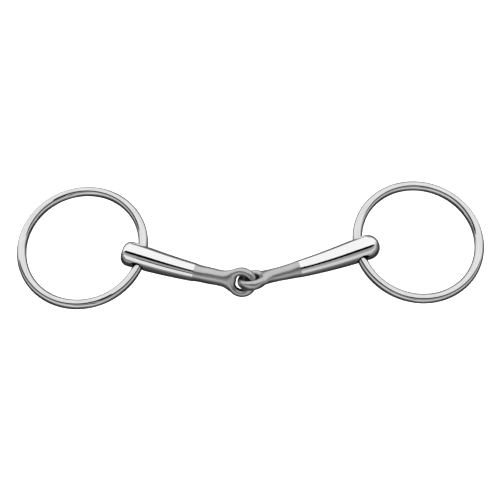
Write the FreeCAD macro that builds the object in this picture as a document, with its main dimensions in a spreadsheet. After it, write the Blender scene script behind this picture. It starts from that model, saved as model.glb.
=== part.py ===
"""Single-jointed loose ring snaffle bit, lying flat, in millimetres.

Two curved mouthpiece halves (cannons) hook into each other through an eye at their inner
ends, and each carries a loose ring in a cross bore at its outer end.  Each cannon is two
nodes that meet face to face at the finish seam: the polished barrel with the bore, and
the satin shank with the eye.

Part frame: +X to the right ring, +Y to the side the cannons are hollow towards, +Z up.
The origin is under the middle of the bit, on the surface that it lies on.
"""
import FreeCAD, Part
import math
import os

import Sketcher
from FreeCAD import Placement, Rotation, Vector

DIMENSIONS = {
    # loose rings
    "ring_inner_diameter": 70.0,
    "ring_wire_diameter": 6.0,
    # outer end of each cannon: how far it stands past the bore, and how round it is
    "butt_diameter": 15.6,
    "left_overhang": 11.7,
    "right_overhang": 12.8,
    "left_end_round": 4.8,
    "right_end_round": 7.5,
    # cross bore, narrowest in the middle so that the curved wire can lean and turn in it
    "bore_waist_diameter": 7.9,
    "bore_mouth_diameter": 12.2,
    "bore_half_length": 9.5,
    # cannon lengths along the centreline, and its bend
    "left_barrel_length": 34.4,
    "right_barrel_length": 38.9,
    "left_shank_length": 29.7,
    "right_shank_length": 29.8,
    "left_seam_diameter": 11.5,
    "right_seam_diameter": 10.7,
    "taper_ease": 6.0,
    "bend_radius": 420.0,
    "bend_start": 6.0,
    "eye_straight": 15.0,
    # eye: its wire is an oval, wider across the eye's plane than in it, and the eye is
    # turned about the cannon from the level of the bend
    "eye_outer_diameter": 18.5,
    "eye_wire_width": 4.9,
    "eye_wire_depth": 5.9,
    "left_eye_turn": 37.0,
    "right_eye_turn": 41.0,
    # shank sections: distance from the eye's centre, half width in the plane of the eye,
    # and half thickness across that plane; the shift moves a side's throat further out
    "left_throat_shift": 0.0,
    "right_throat_shift": 0.9,
    "upper_distance": 22.5,
    "upper_width": 5.20,
    "upper_thickness": 5.10,
    "neck_distance": 15.0,
    "neck_width": 4.95,
    "neck_thickness": 4.60,
    "flare_distance": 11.5,
    "flare_width": 5.05,
    "flare_thickness": 4.30,
    "shoulder_distance": 9.0,
    "shoulder_width": 5.80,
    "shoulder_thickness": 3.90,
    "root_distance": 7.0,
    "root_width": 6.90,
    "root_thickness": 3.20,
    "tongue_distance": 5.6,
    "tongue_width": 7.20,
    "tongue_thickness": 2.05,
}
# How much of the difference between the two seams, and of the throat's shift, each shank
# section shares
SHANK_SECTIONS = {"upper": 1.0, "neck": 1.0, "flare": 0.8, "shoulder": 0.5, "root": 0.2, "tongue": 0.0}
BARREL_STATIONS = (0.0, 5.0, 10.0, 17.0, 25.0)
# A bore takes at least this much out of its barrel, in cubic millimetres
LEAST_BORE_VOLUME = 600.0

# How the pieces lie: the rings, the bores above the surface, and the eyes' centres
RING_CENTRE_OFFSET = 103.92
RING_HEADING = {"left": 13.3, "right": 9.8}
BORE_HEIGHT = 7.84
LEFT_EYE_CENTRE = Vector(-5.8, -25.8, 6.9)
EYE_TO_EYE = Vector(6.7, 0.9, 0.8)

# The centre joint turns about the middle of the left eye's wire, less these offsets
PIVOT_INSET = 0.8
PIVOT_DROP = 0.4

SIGN = {"left": -1, "right": 1}
UP = Vector(0, 0, 1)
ACROSS = Vector(0, 1, 0)

doc = FreeCAD.newDocument("SnaffleBit")
sheet = doc.addObject("Spreadsheet::Sheet", "Dimensions")
for row, (alias, value) in enumerate(DIMENSIONS.items(), start=1):
    sheet.set(f"A{row}", alias)
    sheet.set(f"B{row}", str(value))
    sheet.setAlias(f"B{row}", alias)
doc.recompute()


def dimension(alias):
    """Value of one cell of the sheet, in millimetres or degrees."""
    return float(getattr(sheet, alias))


def unit(vector):
    return Vector(vector).normalize()


def axes_placement(origin, x_axis, z_axis):
    """Placement whose local Z, and as nearly as it can X, point the given ways."""
    y_axis = unit(z_axis.cross(x_axis))
    return Placement(origin, Rotation(y_axis.cross(z_axis), y_axis, unit(z_axis), "ZXY"))


# ------------------------------------------------------------------ cannon centreline

def bent(distance, straight):
    """Frame on a line that runs straight along X and then bends towards +Y."""
    if distance <= straight:
        return Placement(Vector(distance, 0, 0), Rotation())
    radius = dimension("bend_radius")
    turn = (distance - straight) / radius
    point = Vector(straight + radius * math.sin(turn), radius * (1 - math.cos(turn)), 0)
    return Placement(point, Rotation(UP, math.degrees(turn)))


def barrel_frame(distance):
    """Frame on the barrel's centreline, counted from the bore: X runs on to the eye."""
    return bent(distance, dimension("bend_start"))


def shank_frame(distance):
    """Frame on the shank's centreline, counted from the eye: X runs back to the seam."""
    frame = bent(distance, dimension("eye_straight"))
    base = Vector(frame.Base.x, -frame.Base.y, 0)
    return Placement(base, frame.Rotation.inverted())


def eye_in_cannon(side):
    """Frame of the eye in the cannon's own frame, whose origin is the bore."""
    seam = barrel_frame(dimension(f"{side}_barrel_length"))
    half_turn = Placement(Vector(), Rotation(UP, 180))
    return seam * half_turn * shank_frame(dimension(f"{side}_shank_length")).inverse()


# ------------------------------------------------------------------ how the pieces lie

def ring_radius():
    """Radius of the middle of the ring's wire."""
    return (dimension("ring_inner_diameter") + dimension("ring_wire_diameter")) / 2


def bore_to_ring_centre():
    """The curved wire is centred in the bore over the width of the butt."""
    radius = ring_radius()
    bulge = radius - math.sqrt(radius ** 2 - (dimension("butt_diameter") / 2) ** 2)
    return radius - bulge / 2


def ring_outward(side):
    """Direction from the bore to the ring's centre, with the far side on the surface."""
    heading = math.radians(RING_HEADING[side])
    drop = BORE_HEIGHT - dimension("ring_wire_diameter") / 2
    tilt = math.asin(drop / (bore_to_ring_centre() + ring_radius()))
    level = Vector(SIGN[side] * math.cos(heading), math.sin(heading), 0)
    return level * math.cos(tilt) - UP * math.sin(tilt)


def bore_centre(side):
    """The rings' centres are on the X axis in plan, and each bore follows from its ring."""
    reach = ring_outward(side) * bore_to_ring_centre()
    return Vector(SIGN[side] * RING_CENTRE_OFFSET - reach.x, -reach.y, BORE_HEIGHT)


def ring_axis(side):
    """Level line in the plane of the ring, through the bore, that the ring swings about."""
    outward = ring_outward(side)
    return unit(UP.cross(outward)) * SIGN[side]


def bore_to_eye(side):
    """From the bore to where the eye's centre belongs, in the part frame."""
    eye = LEFT_EYE_CENTRE if side == "left" else LEFT_EYE_CENTRE + EYE_TO_EYE
    return eye - bore_centre(side)


def cannon_placement(side):
    """Lays a cannon from its bore towards its eye; the right one is turned over."""
    turned_over = Rotation(ACROSS, 180) if side == "right" else Rotation()
    own_eye = turned_over.multVec(eye_in_cannon(side).Base)
    along = bore_to_eye(side)
    yaw = math.degrees(math.atan2(along.y, along.x) - math.atan2(own_eye.y, own_eye.x))
    pitch = math.degrees(math.asin(-along.z / along.Length))
    rotation = Rotation(UP.cross(along), pitch) * Rotation(UP, yaw) * turned_over
    return Placement(bore_centre(side), rotation)


def eye_placement(side):
    return cannon_placement(side) * eye_in_cannon(side)


def eye_normal(side):
    """Normal of the eye's plane in the eye's frame."""
    turn = math.radians(dimension(f"{side}_eye_turn"))
    return Vector(0, math.sin(turn), math.cos(turn))


def loop_radius():
    """From the eye's centre to the middle of its wire."""
    return (dimension("eye_outer_diameter") - dimension("eye_wire_width")) / 2


# ------------------------------------------------------------------ loose rings

def make_ring(side):
    ring = doc.addObject("Part::Torus", f"{side}_ring")
    middle = "(Dimensions.ring_inner_diameter + Dimensions.ring_wire_diameter) / 2"
    ring.setExpression("Radius1", middle)
    ring.setExpression("Radius2", "Dimensions.ring_wire_diameter / 2")
    outward = ring_outward(side)
    centre = bore_centre(side) + outward * bore_to_ring_centre()
    ring.Placement = axes_placement(centre, outward, outward.cross(ring_axis(side)))
    return ring


# ------------------------------------------------------------------ polished barrels

def add_sketch(body, name, role, offset=Placement()):
    plane = next(feature for feature in body.Origin.OriginFeatures if feature.Role == role)
    sketch = body.newObject("Sketcher::SketchObject", name)
    sketch.AttachmentSupport = [(plane, "")]
    sketch.MapMode = "FlatFace"
    sketch.AttachmentOffset = offset
    return sketch


def bind(sketch, kind, elements, value, name, formula):
    """Adds a dimension to a sketch, named and driven by the sheet."""
    index = sketch.addConstraint(Sketcher.Constraint(kind, *elements, value))
    sketch.renameConstraint(index, name)
    sketch.setExpression(f"Constraints.{name}", formula)


def taper_share(distance):
    """How far the taper has got: next to nothing at the butt, then rising straight."""
    return (distance + math.hypot(distance, dimension("taper_ease"))) / 2


def barrel_radius(side, distance):
    """Radius and its formula at a distance from the bore."""
    share = taper_share(distance) / taper_share(dimension(f"{side}_barrel_length"))
    seam = f"{side}_seam_diameter"
    formula = f"(Dimensions.butt_diameter * {1 - share:.6f} + Dimensions.{seam} * {share:.6f}) / 2"
    value = (dimension("butt_diameter") * (1 - share) + dimension(seam) * share) / 2
    return value, formula


def barrel_section(body, side, index, distance):
    frame = barrel_frame(distance)
    lean = math.degrees(frame.Rotation.Angle)
    offset = Placement(Vector(frame.Base.y, 0, frame.Base.x), Rotation(ACROSS, lean))
    sketch = add_sketch(body, f"{side}_section_{index}", "YZ_Plane", offset)
    radius, formula = barrel_radius(side, distance)
    sketch.addGeometry(Part.Circle(Vector(), UP, radius))
    sketch.addConstraint(Sketcher.Constraint("Coincident", 0, 3, -1, 1))
    bind(sketch, "Radius", (0,), radius, "radius", formula)
    return sketch


def end_profile(body, side, edge):
    """Half profile of the rounded outer end, from its tip in to the first section."""
    radius, radius_formula = barrel_radius(side, -edge)
    overhang = dimension(f"{side}_overhang")
    end_round = dimension(f"{side}_end_round")
    tip = Vector(-overhang, 0)
    flat = Vector(-overhang, radius - end_round)
    centre = Vector(end_round - overhang, radius - end_round)
    rim = Vector(end_round - overhang, radius)
    foot = Vector(end_round - overhang, 0)
    arc = Part.ArcOfCircle(Part.Circle(centre, UP, end_round), math.pi / 2, math.pi)
    sketch = add_sketch(body, f"{side}_end_profile", "XY_Plane")
    lines = [Part.LineSegment(tip, flat), arc, Part.LineSegment(rim, foot), Part.LineSegment(foot, tip)]
    sketch.addGeometry(lines)
    sketch.addConstraint([
        Sketcher.Constraint("Tangent", 0, 2, 1, 2),
        Sketcher.Constraint("Coincident", 1, 1, 2, 1),
        Sketcher.Constraint("Coincident", 2, 2, 3, 1),
        Sketcher.Constraint("Coincident", 3, 2, 0, 1),
        Sketcher.Constraint("Vertical", 0),
        Sketcher.Constraint("Vertical", 2),
        Sketcher.Constraint("Horizontal", 3),
        Sketcher.Constraint("PointOnObject", 0, 1, -1),
    ])
    bind(sketch, "Radius", (1,), end_round, "round", f"Dimensions.{side}_end_round")
    bind(sketch, "DistanceX", (0, 1, -1, 1), overhang, "overhang", f"Dimensions.{side}_overhang")
    bind(sketch, "DistanceX", (2, 2, -1, 1), edge, "edge",
         f"Dimensions.{side}_overhang - Dimensions.{side}_end_round")
    bind(sketch, "DistanceY", (2, 2, 2, 1), radius, "rim", radius_formula)
    return sketch


def bore_profile(body, side):
    """Half profile of the waisted bore, to turn about its own axis."""
    half_length = dimension("bore_half_length")
    waist = dimension("bore_waist_diameter") / 2
    mouth = dimension("bore_mouth_diameter") / 2
    flare = mouth - waist
    radius = (half_length ** 2 + flare ** 2) / (2 * flare)
    swing = math.asin(half_length / radius)
    centre = Vector(waist + radius, 0)
    low, high = Vector(mouth, -half_length), Vector(mouth, half_length)
    foot, head = Vector(0, -half_length), Vector(0, half_length)
    wall = Part.ArcOfCircle(Part.Circle(centre, UP, radius), math.pi - swing, math.pi + swing)
    sketch = add_sketch(body, f"{side}_bore_profile", "XY_Plane")
    axis = Part.LineSegment(foot, head)
    sketch.addGeometry([Part.LineSegment(head, high), wall, Part.LineSegment(low, foot), axis])
    sketch.addConstraint([
        Sketcher.Constraint("Coincident", 0, 2, 1, 1),
        Sketcher.Constraint("Coincident", 1, 2, 2, 1),
        Sketcher.Constraint("Coincident", 2, 2, 3, 1),
        Sketcher.Constraint("Coincident", 3, 2, 0, 1),
        Sketcher.Constraint("Horizontal", 0),
        Sketcher.Constraint("Horizontal", 2),
        Sketcher.Constraint("PointOnObject", 0, 1, -2),
        Sketcher.Constraint("PointOnObject", 2, 2, -2),
        Sketcher.Constraint("PointOnObject", 1, 3, -1),
    ])
    bind(sketch, "DistanceY", (-1, 1, 0, 1), half_length, "half_length", "Dimensions.bore_half_length")
    bind(sketch, "DistanceX", (0, 1, 0, 2), mouth, "mouth", "Dimensions.bore_mouth_diameter / 2")
    bind(sketch, "Radius", (1,), radius, "wall",
         "(Dimensions.bore_half_length ^ 2 + ((Dimensions.bore_mouth_diameter"
         " - Dimensions.bore_waist_diameter) / 2) ^ 2)"
         " / (Dimensions.bore_mouth_diameter - Dimensions.bore_waist_diameter)")
    return sketch


def make_barrel(side):
    body = doc.addObject("PartDesign::Body", f"{side}_cannon_barrel")
    edge = dimension(f"{side}_overhang") - dimension(f"{side}_end_round")
    stations = (-edge,) + BARREL_STATIONS + (dimension(f"{side}_barrel_length"),)
    sections = [barrel_section(body, side, index, distance) for index, distance in enumerate(stations)]
    loft = body.newObject("PartDesign::AdditiveLoft", f"{side}_taper")
    loft.Profile = sections[0]
    loft.Sections = sections[1:]
    doc.recompute()

    end = body.newObject("PartDesign::Revolution", f"{side}_end")
    end.Profile = end_profile(body, side, edge)
    end.ReferenceAxis = (end.Profile[0], ["H_Axis"])
    end.Angle = 360
    doc.recompute()
    solid_volume = body.Shape.Volume

    bore = body.newObject("PartDesign::Groove", f"{side}_bore")
    bore.Profile = bore_profile(body, side)
    bore.ReferenceAxis = (bore.Profile[0], ["V_Axis"])
    bore.Angle = 360
    doc.recompute()
    if body.Shape.Volume > solid_volume - LEAST_BORE_VOLUME:
        raise ValueError(f"the {side} bore didn't cut")
    body.Placement = cannon_placement(side)
    return body


# ------------------------------------------------------------------ satin shanks and eyes

def shank_section(side, name, frame, half_width, half_thickness):
    """Oval across the shank, its long axis in the plane of the eye."""
    oval = doc.addObject("Part::Ellipse", f"{side}_shank_{name}")
    oval.setExpression("MajorRadius", half_width)
    oval.setExpression("MinorRadius", half_thickness)
    along = frame.Rotation.multVec(Vector(1, 0, 0))
    oval.Placement = axes_placement(frame.Base, eye_normal(side).cross(along), along)
    return oval


def make_eye(side):
    seam_frame = shank_frame(dimension(f"{side}_shank_length"))
    seam_radius = f"Dimensions.{side}_seam_diameter / 2"
    sections = [shank_section(side, "seam", seam_frame, seam_radius, seam_radius)]
    for name, share in SHANK_SECTIONS.items():
        shift = dimension(f"{side}_throat_shift") * share
        frame = shank_frame(dimension(f"{name}_distance") + shift)
        seams = f"(Dimensions.left_seam_diameter - Dimensions.{side}_seam_diameter)"
        slimmer = f" - {seams} / 2 * {share}"
        half_width = f"Dimensions.{name}_width{slimmer}"
        half_thickness = f"Dimensions.{name}_thickness{slimmer}"
        sections.append(shank_section(side, name, frame, half_width, half_thickness))
    shank = doc.addObject("Part::Loft", f"{side}_shank")
    shank.Sections = sections
    shank.Solid = True
    shank.Ruled = False

    wire = doc.addObject("Part::Ellipse", f"{side}_loop_wire")
    wire.setExpression("MajorRadius", "Dimensions.eye_wire_depth / 2")
    wire.setExpression("MinorRadius", "Dimensions.eye_wire_width / 2")
    wire.Placement = axes_placement(Vector(loop_radius(), 0, 0), UP, ACROSS)
    middle = "(Dimensions.eye_outer_diameter - Dimensions.eye_wire_width) / 2"
    wire.setExpression("Placement.Base.x", middle)
    loop = doc.addObject("Part::Revolution", f"{side}_loop")
    loop.Source = wire
    loop.Axis = UP
    loop.Base = Vector()
    loop.Angle = 360
    loop.Solid = True
    loop.Placement = axes_placement(Vector(), Vector(1, 0, 0), eye_normal(side))

    eye = doc.addObject("Part::Fuse", f"{side}_cannon_eye")
    eye.Base = shank
    eye.Tool = loop
    doc.recompute()
    eye.Placement = eye_placement(side)
    return eye


# ------------------------------------------------------------------ whole bit

def joint_lines():
    """Origin and direction of each joint's axis in the part frame."""
    eye = eye_placement("left")
    away = eye.Rotation.multVec(Vector(1, 0, 0))
    normal = eye.Rotation.multVec(eye_normal("left"))
    pivot = eye.Base - away * (loop_radius() - PIVOT_INSET) - normal * PIVOT_DROP
    return {
        "left_ring_swing": (bore_centre("left"), ring_axis("left")),
        "right_ring_swing": (bore_centre("right"), ring_axis("right")),
        "centre_joint_fold": (pivot, unit(away.cross(normal))),
    }


def check(piece):
    if piece.Shape.isNull() or not piece.Shape.isValid():
        raise ValueError(f"{piece.Label} has no valid shape")


pieces = []
for cannon_side in ("left", "right"):
    pieces.append(make_ring(cannon_side))
    pieces.append(make_barrel(cannon_side))
    pieces.append(make_eye(cannon_side))
doc.recompute()
for item in doc.Objects:
    if {"Invalid", "Error"} & set(item.State):
        raise ValueError(f"{item.Label} didn't recompute: {item.State}")
for piece in pieces:
    check(piece)

os.makedirs("parts", exist_ok=True)
for piece in pieces:
    piece.Shape.exportStep(f"parts/{piece.Label}.step")
    box = piece.Shape.BoundBox
    print(f"{piece.Label}: {len(piece.Shape.Solids)} solid, {piece.Shape.Volume:.1f} mm3, {box}")
for cannon_side in ("left", "right"):
    spare = eye_in_cannon(cannon_side).Base.Length - bore_to_eye(cannon_side).Length
    print(f"{cannon_side} cannon is {spare:+.3f} mm longer than its place")
for joint, (point, axis) in joint_lines().items():
    print(f"{joint}: at {point.x:.4f} {point.y:.4f} {point.z:.4f}"
          f" along {axis.x:.6f} {axis.y:.6f} {axis.z:.6f}")
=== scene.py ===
"""Looks of the loose ring snaffle bit: metals, studio surroundings and camera."""

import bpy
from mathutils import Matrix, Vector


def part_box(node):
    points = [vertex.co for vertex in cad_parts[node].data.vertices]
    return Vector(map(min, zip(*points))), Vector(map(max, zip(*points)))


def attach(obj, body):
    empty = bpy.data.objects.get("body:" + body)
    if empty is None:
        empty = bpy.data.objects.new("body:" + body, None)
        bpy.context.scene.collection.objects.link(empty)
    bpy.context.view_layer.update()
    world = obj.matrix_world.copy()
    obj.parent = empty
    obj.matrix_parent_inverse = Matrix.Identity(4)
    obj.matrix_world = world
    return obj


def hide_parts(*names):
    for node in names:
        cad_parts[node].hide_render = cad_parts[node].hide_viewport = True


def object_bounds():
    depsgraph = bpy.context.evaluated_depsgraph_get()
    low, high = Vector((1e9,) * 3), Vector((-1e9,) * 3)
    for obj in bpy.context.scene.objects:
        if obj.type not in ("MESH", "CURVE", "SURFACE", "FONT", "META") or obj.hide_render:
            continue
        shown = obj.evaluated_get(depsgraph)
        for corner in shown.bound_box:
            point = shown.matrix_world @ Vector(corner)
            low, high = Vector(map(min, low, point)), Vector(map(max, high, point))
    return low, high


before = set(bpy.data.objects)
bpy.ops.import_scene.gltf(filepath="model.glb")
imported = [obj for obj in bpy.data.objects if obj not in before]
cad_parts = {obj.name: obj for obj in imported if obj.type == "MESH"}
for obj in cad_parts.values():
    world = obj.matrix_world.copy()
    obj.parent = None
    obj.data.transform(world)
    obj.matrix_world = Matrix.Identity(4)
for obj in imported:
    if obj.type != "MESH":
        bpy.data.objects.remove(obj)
cad_bounds = [list(map(float, corner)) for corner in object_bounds()]

import math

import bmesh
import bpy
from mathutils import Matrix, Vector

MM = 0.001
scene = bpy.context.scene
scene.view_settings.view_transform = "Standard"


# ---------------------------------------------------------------- node helpers

class Nodes:
    """A node tree with short calls to add and join nodes."""

    def __init__(self, tree):
        self.tree = tree
        tree.nodes.clear()

    def add(self, kind, inputs=None, **settings):
        node = self.tree.nodes.new(kind)
        for name, value in settings.items():
            setattr(node, name, value)
        for name, value in (inputs or {}).items():
            if isinstance(value, bpy.types.NodeSocket):
                self.tree.links.new(value, node.inputs[name])
            else:
                node.inputs[name].default_value = value
        return node

    def math(self, operation, first, second=0.0, clamp=False):
        node = self.add("ShaderNodeMath", {0: first, 1: second}, operation=operation, use_clamp=clamp)
        return node.outputs[0]

    def spread(self, value, low, high, to_low, to_high):
        """Carries value from the range low..high to to_low..to_high, held at both ends."""
        inputs = {"Value": value, "From Min": low, "From Max": high, "To Min": to_low, "To Max": to_high}
        return self.add("ShaderNodeMapRange", inputs, clamp=True).outputs["Result"]

    def noise(self, place, scale, detail=3.0, roughness=0.5):
        inputs = {"Vector": place, "Scale": scale, "Detail": detail, "Roughness": roughness}
        return self.add("ShaderNodeTexNoise", inputs).outputs["Fac"]

    def ramp(self, value, stops):
        """Colour ramp over 0..1 in greys; stops are (place, brightness)."""
        node = self.add("ShaderNodeValToRGB", {"Fac": value})
        elements = node.color_ramp.elements
        while len(elements) > 1:
            elements.remove(elements[-1])
        for index, (place, grey) in enumerate(stops):
            element = elements[0] if index == 0 else elements.new(place)
            element.position = place
            element.color = (grey, grey, grey, 1)
        return node.outputs["Color"]


# ---------------------------------------------------------------- metals

# Noise scales of the cloudy mottle, the handling marks and the streaks round a ring
CLOUD_SCALE = 0.12 / MM
HANDLING_SCALE = 0.035 / MM
STREAK_SCALE = 1 / (0.55 * MM)
# Length of ring wire that a streak's pattern takes for each radian
STREAK_TURN = 0.8 * MM
# Painted shade in creases and between parts: its reach, the darkest share of the colour that it leaves,
# and its samples
PAINTED_CREVICE_SHADE_REACH = 6 * MM
PAINTED_CREVICE_SHADE = 0.12
PAINTED_CREVICE_SHADE_SAMPLES = 8
BUMP_STRENGTH = 0.35


def steel_shader(nodes, place, look, streaks=None):
    """Bare stainless steel: mottled reflectance, uneven polish, fine grain and painted shade in crevices.

    In look, the grain's size and height are in millimetres.
    """
    grey = look["grey"]
    clouds = nodes.noise(place, CLOUD_SCALE, 4.0, 0.6)
    grain = nodes.noise(place, 1.0 / (look["grain_size"] * MM), 6.0, 0.7)
    handling = nodes.noise(place, HANDLING_SCALE, 2.0)
    # Painted shade: ambient occlusion darkens the colour in creases, in the eyes' holes and where parts
    # lie close together
    occlusion = nodes.add("ShaderNodeAmbientOcclusion", {"Distance": PAINTED_CREVICE_SHADE_REACH},
                          samples=PAINTED_CREVICE_SHADE_SAMPLES)
    painted_crevice_shade = occlusion.outputs["AO"]
    shade = nodes.spread(clouds, 0.3, 0.7, grey * (1 - look["mottle"]), grey)
    shade = nodes.math("MULTIPLY", shade, nodes.spread(painted_crevice_shade, 0.15, 0.65, PAINTED_CREVICE_SHADE, 1.0))
    relief = grain
    if streaks is not None:
        relief = nodes.math("ADD", nodes.math("MULTIPLY", grain, 0.3), streaks)
        shade = nodes.math("MULTIPLY", shade, nodes.spread(streaks, 0.3, 0.7, 1 - look["streak"], 1.0))
    colour = nodes.add("ShaderNodeCombineColor", {"Red": shade, "Green": shade, "Blue": shade}).outputs[0]
    swing = look["rough_swing"]
    dull = nodes.math("ADD", nodes.spread(grain, 0.35, 0.7, -swing / 2, swing / 2),
                      nodes.spread(handling, 0.4, 0.7, 0.0, swing))
    rough = nodes.math("ADD", dull, look["roughness"], clamp=True)
    bump = nodes.add("ShaderNodeBump", {
        "Strength": BUMP_STRENGTH, "Distance": look["grain_height"] * MM, "Height": relief})
    shader = nodes.add("ShaderNodeBsdfPrincipled", {
        "Base Color": colour, "Metallic": 1.0, "Roughness": rough, "Normal": bump.outputs["Normal"]})
    nodes.add("ShaderNodeOutputMaterial", {"Surface": shader.outputs["BSDF"]})


def new_material(name):
    material = bpy.data.materials.new(name)
    material.use_nodes = True
    return material, Nodes(material.node_tree)


def polished_steel():
    """Mirror polish with the finest of grain."""
    material, nodes = new_material("polished_steel")
    place = nodes.add("ShaderNodeTexCoord").outputs["Object"]
    look = dict(grey=0.95, roughness=0.010, grain_size=0.5, grain_height=0.0002,
                mottle=0.03, rough_swing=0.008)
    steel_shader(nodes, place, look)
    return material


def satin_steel():
    """Blasted shank and eye: an even, matt sheen."""
    material, nodes = new_material("satin_steel")
    place = nodes.add("ShaderNodeTexCoord").outputs["Object"]
    look = dict(grey=0.61, roughness=0.29, grain_size=0.14, grain_height=0.006,
                mottle=0.12, rough_swing=0.06)
    steel_shader(nodes, place, look)
    return material


def ring_steel(ring):
    """Drawn wire, buffed round the ring: its faint streaks run along the wire."""
    material, nodes = new_material(f"{ring}_steel")
    low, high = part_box(ring)
    middle = (low + high) / 2
    place = nodes.add("ShaderNodeTexCoord").outputs["Object"]
    offset = nodes.add("ShaderNodeVectorMath", {0: place, 1: middle}, operation="SUBTRACT")
    from_middle = offset.outputs[0]
    parts = nodes.add("ShaderNodeSeparateXYZ", {"Vector": from_middle}).outputs
    round_the_ring = nodes.math("MULTIPLY", nodes.math("ARCTAN2", parts["Y"], parts["X"]), STREAK_TURN)
    outward = nodes.add("ShaderNodeVectorMath", {0: from_middle}, operation="LENGTH").outputs["Value"]
    wire_place = {"X": outward, "Y": round_the_ring, "Z": parts["Z"]}
    along = nodes.add("ShaderNodeCombineXYZ", wire_place).outputs[0]
    streaks = nodes.noise(along, STREAK_SCALE, 3.0, 0.6)
    look = dict(grey=0.86, roughness=0.02, grain_size=0.35, grain_height=0.0007,
                mottle=0.05, rough_swing=0.02, streak=0.18)
    steel_shader(nodes, place, look, streaks)
    return material


polished = polished_steel()
satin = satin_steel()
FINISHES = {
    "left_ring": ring_steel("left_ring"),
    "right_ring": ring_steel("right_ring"),
    "left_cannon_barrel": polished,
    "right_cannon_barrel": polished,
}
for node_name, finish in FINISHES.items():
    for material_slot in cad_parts[node_name].material_slots:
        material_slot.material = finish

# ---------------------------------------------------------------- shanks and eyes

VOXEL = 0.3 * MM
MERGE_DISTANCE = 0.001 * MM
EYE_RADIUS = 9.2 * MM
# The seam's flat end is found this near the node's end, and pushed on into the barrel
SEAM_DEPTH = 4 * MM
SEAM_FACING = 0.8
SEAM_OVERLAP = 1.0 * MM
# The blend between loop and shank: full within the reach of the eye's centre, fading beyond
FORGED_REACH = 13 * MM
FORGED_FADE = 5 * MM
FORGED_SWELL = 0.12 * MM
FIRST_SMOOTHING = 4
FORGED_SMOOTHING = 30
# The hole is filled a little where the loop leaves the shank
HOLE_RADIUS = 4.3 * MM
THROAT_FILL = {"left": 0.85 * MM, "right": 0.0}
THROAT_REACH = 0.3 * MM
THROAT_FADE = 3.4 * MM


def applied(obj):
    """The object's mesh with its modifiers worked in."""
    depsgraph = bpy.context.evaluated_depsgraph_get()
    obj.data = bpy.data.meshes.new_from_object(obj.evaluated_get(depsgraph))
    obj.modifiers.clear()
    return obj.data


def weight_by_reach(obj, name, centre, reach, fade):
    """A vertex group: 1 within reach of the centre, easing to 0 over the fade beyond it."""
    group = obj.vertex_groups.new(name=name)
    for vertex in obj.data.vertices:
        beyond = (vertex.co - centre).length - reach
        share = min(1.0, max(0.0, 1 - beyond / fade))
        group.add([vertex.index], share * share * (3 - 2 * share), "REPLACE")
    return group.name


def add_displacement(obj, name, strength, group):
    displace = obj.modifiers.new(name, "DISPLACE")
    displace.mid_level = 0
    displace.strength = strength
    displace.vertex_group = group


def add_smoothing(obj, repeats, group=""):
    smooth = obj.modifiers.new("smooth", "SMOOTH")
    smooth.factor = 0.5
    smooth.iterations = repeats
    smooth.vertex_group = group


def seam_cap(shape, seam_x, towards_seam):
    """The corners of the flat end at the seam, and the way that it faces."""
    corners = {v for face in shape.faces
               if abs(face.calc_center_median().x - seam_x) < SEAM_DEPTH
               and face.normal.x * towards_seam > SEAM_FACING
               for v in face.verts}
    facing = Vector()
    for face in shape.faces:
        if all(v in corners for v in face.verts):
            facing += face.normal * face.calc_area()
    return [v for v in shape.verts if v in corners], facing.normalized()


def forged_eye(side, towards_seam):
    """Shank and eye as one forging: the creases where the loop leaves the shank are blended."""
    node_name = f"{side}_cannon_eye"
    low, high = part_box(node_name)
    seam_x = low.x if towards_seam < 0 else high.x
    eye_x = high.x - EYE_RADIUS if towards_seam < 0 else low.x + EYE_RADIUS
    shape = bmesh.new()
    shape.from_mesh(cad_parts[node_name].data)
    bmesh.ops.remove_doubles(shape, verts=shape.verts, dist=MERGE_DISTANCE)
    loop = [v.co for v in shape.verts if abs(v.co.x - eye_x) < EYE_RADIUS]
    middles = [(min(co[axis] for co in loop) + max(co[axis] for co in loop)) / 2 for axis in range(3)]
    centre = Vector(middles)
    cap, facing = seam_cap(shape, seam_x, towards_seam)
    seam_middle = sum((v.co for v in cap), Vector()) / len(cap)
    throat = centre + (seam_middle - centre).normalized() * HOLE_RADIUS
    for vertex in cap:
        vertex.co += facing * SEAM_OVERLAP
    mesh = bpy.data.meshes.new(f"{side}_forged_eye")
    shape.to_mesh(mesh)
    shape.free()
    eye = bpy.data.objects.new(f"{side}_forged_eye", mesh)
    scene.collection.objects.link(eye)

    remesh = eye.modifiers.new("remesh", "REMESH")
    remesh.mode = "VOXEL"
    remesh.voxel_size = VOXEL
    applied(eye)
    forged_group = weight_by_reach(eye, "forged", centre, FORGED_REACH, FORGED_FADE)
    throat_group = weight_by_reach(eye, "throat", throat, THROAT_REACH, THROAT_FADE)
    add_smoothing(eye, FIRST_SMOOTHING)
    add_displacement(eye, "swell", FORGED_SWELL, forged_group)
    add_displacement(eye, "throat_fill", THROAT_FILL[side], throat_group)
    add_smoothing(eye, FORGED_SMOOTHING, forged_group)
    mesh = applied(eye)
    mesh.materials.clear()
    mesh.materials.append(satin)
    mesh.polygons.foreach_set("use_smooth", [True] * len(mesh.polygons))
    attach(eye, f"{side}_cannon")
    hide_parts(node_name)


forged_eye("left", -1)
forged_eye("right", 1)

# ---------------------------------------------------------------- studio

# Brightness of the surroundings by the angle round the X axis, from overhead towards +Y, in
# degrees: dark low front, front card, grey gap, black slot between the boxes, the wide
# softbox overhead and behind, and the dark low back.
SURROUNDINGS = (
    (-180, 0.03),
    (-150, 0.04),
    (-125, 0.09),
    (-104, 0.18),
    (-97, 0.28),
    (-92, 0.60),
    (-63, 0.68),
    (-58, 0.40),
    (-44, 0.33),
    (-34, 0.36),
    (-31, 0.003),
    (-10, 0.003),
    (-8.5, 0.98),
    (76, 0.98),
    (90, 0.14),
    (180, 0.03),
)
# The black slot curves up at its ends by this many degrees at a level X direction
SLOT_CURVE = 40
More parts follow.
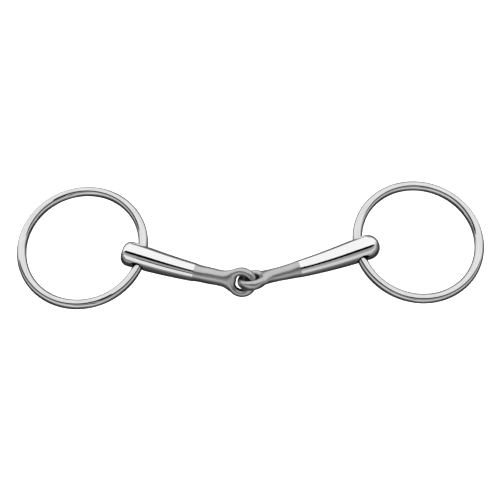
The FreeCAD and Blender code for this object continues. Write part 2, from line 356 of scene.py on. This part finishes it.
# The bands stand this many degrees further back on the left than on the right, and change
# between these X directions
LEAN = 12
LEAN_REACH = (-0.06, 0.08)
# The front card is brighter towards the left
CARD_ANGLES = (-95, -32)
CARD_REACH = 0.35
CARD_LIFT = 0.3
CARD_SOFTNESS = 1.5
# A narrow black flag low in front on the left: its edges in degrees and in X direction
FLAG_ANGLES = (-60, -50)
FLAG_REACH = (-0.36, 0.1)
FLAG_EDGE_SOFTNESS = 0.8
FLAG_END_SOFTNESS = 0.03
# Grey cards at the far left and right, dark below and lighter above: where they fade in, in
# X direction, and where they grow lighter, in Z direction
LEFT_SIDE = (-0.985, -0.86)
RIGHT_SIDE = (0.78, 0.95)
SIDE_HEIGHTS = (-0.1, 0.3)
SIDE_LOW_GREY = 0.05
SIDE_HIGH_GREY = 0.62
BLACK = (0.01, 0.01, 0.01, 1)


def window(nodes, value, low, high, soft):
    """1 between low and high, and 0 beyond them, with soft edges."""
    rise = nodes.spread(value, low - soft, low + soft, 0.0, 1.0)
    fall = nodes.spread(value, high - soft, high + soft, 1.0, 0.0)
    return nodes.math("MULTIPLY", rise, fall)


def build_world():
    world = bpy.data.worlds.new("studio")
    scene.world = world
    world.use_nodes = True
    nodes = Nodes(world.node_tree)
    direction = nodes.add("ShaderNodeTexCoord").outputs["Generated"]
    parts = nodes.add("ShaderNodeSeparateXYZ", {"Vector": direction}).outputs
    angle = nodes.math("DEGREES", nodes.math("ARCTAN2", parts["Y"], parts["Z"]))
    rise = nodes.math("MULTIPLY", nodes.math("MULTIPLY", parts["X"], parts["X"]), SLOT_CURVE)
    lean = nodes.spread(parts["X"], *LEAN_REACH, LEAN, 0.0)
    turned = nodes.math("SUBTRACT", angle, nodes.math("ADD", rise, lean))
    share = nodes.spread(turned, -180, 180, 0.0, 1.0)
    bands = nodes.ramp(share, [((degrees + 180) / 360, grey) for degrees, grey in SURROUNDINGS])
    card = window(nodes, angle, *CARD_ANGLES, CARD_SOFTNESS)
    lift = nodes.spread(parts["X"], -CARD_REACH, CARD_REACH, CARD_LIFT, 0.0)
    lifted = nodes.math("ADD", nodes.math("MULTIPLY", card, lift), 1.0)
    bands = nodes.add("ShaderNodeVectorMath", {0: bands, 3: lifted}, operation="SCALE").outputs[0]
    across = window(nodes, turned, *FLAG_ANGLES, FLAG_EDGE_SOFTNESS)
    along = window(nodes, parts["X"], *FLAG_REACH, FLAG_END_SOFTNESS)
    flag = nodes.math("MULTIPLY", across, along)
    flagged = nodes.add("ShaderNodeMix", {0: flag, 6: bands, 7: BLACK}, data_type="RGBA").outputs[2]
    leftwards = nodes.spread(parts["X"], *LEFT_SIDE, 1.0, 0.0)
    rightwards = nodes.spread(parts["X"], *RIGHT_SIDE, 0.0, 1.0)
    sideways = nodes.math("ADD", leftwards, rightwards)
    side = nodes.spread(parts["Z"], *SIDE_HEIGHTS, SIDE_LOW_GREY, SIDE_HIGH_GREY)
    blend = nodes.add("ShaderNodeMix", {0: sideways, 6: flagged, 7: side}, data_type="RGBA").outputs[2]
    light = nodes.add("ShaderNodeBackground", {"Color": blend})
    backdrop = nodes.add("ShaderNodeBackground", {"Color": (1, 1, 1, 1)})
    seen = nodes.add("ShaderNodeLightPath").outputs["Is Camera Ray"]
    shown = nodes.add("ShaderNodeMixShader", {0: seen, 1: light.outputs[0], 2: backdrop.outputs[0]})
    nodes.add("ShaderNodeOutputWorld", {"Surface": shown.outputs[0]})


# The floor lies this far below the bit, clear of the parts that fold and swing down
FLOOR_DROP = 0.16
FLOOR_REACH = 30


def build_floor():
    mesh = bpy.data.meshes.new("floor")
    corners = [(x * FLOOR_REACH, y * FLOOR_REACH, 0) for x, y in ((-1, -1), (1, -1), (1, 1), (-1, 1))]
    mesh.from_pydata(corners, [], [(0, 1, 2, 3)])
    floor = bpy.data.objects.new("floor", mesh)
    floor.location.z = cad_bounds[0][2] - FLOOR_DROP
    scene.collection.objects.link(floor)
    material = bpy.data.materials.new("floor_white")
    material.use_nodes = True
    shader = material.node_tree.nodes["Principled BSDF"]
    shader.inputs["Base Color"].default_value = (0.9, 0.9, 0.9, 1)
    shader.inputs["Roughness"].default_value = 0.9
    shader.inputs["Specular IOR Level"].default_value = 0.0
    shader.inputs["Emission Color"].default_value = (1, 1, 1, 1)
    shader.inputs["Emission Strength"].default_value = 0.45
    mesh.materials.append(material)
    floor.visible_glossy = False


def build_overhead():
    light = bpy.data.lights.new("overhead", "SUN")
    light.angle = math.radians(75)
    light.energy = 2.2
    lamp = bpy.data.objects.new("overhead", light)
    lamp.visible_glossy = False
    scene.collection.objects.link(lamp)


def build_camera():
    distance = 0.652
    from_vertical = math.radians(22.5)
    roll = math.radians(0.98)
    target = Vector((-0.0003, -0.0041, 0.0055))
    data = bpy.data.cameras.new("camera")
    data.sensor_width = 36
    data.lens = 76.1
    data.clip_start = 0.01
    camera = bpy.data.objects.new("camera", data)
    back = Vector((0, -math.sin(from_vertical), math.cos(from_vertical)))
    pose = Matrix.Translation(target + back * distance) @ Matrix.Rotation(from_vertical, 4, "X")
    camera.matrix_world = pose @ Matrix.Rotation(-roll, 4, "Z")
    scene.collection.objects.link(camera)
    scene.camera = camera


build_world()
build_floor()
build_overhead()
build_camera()
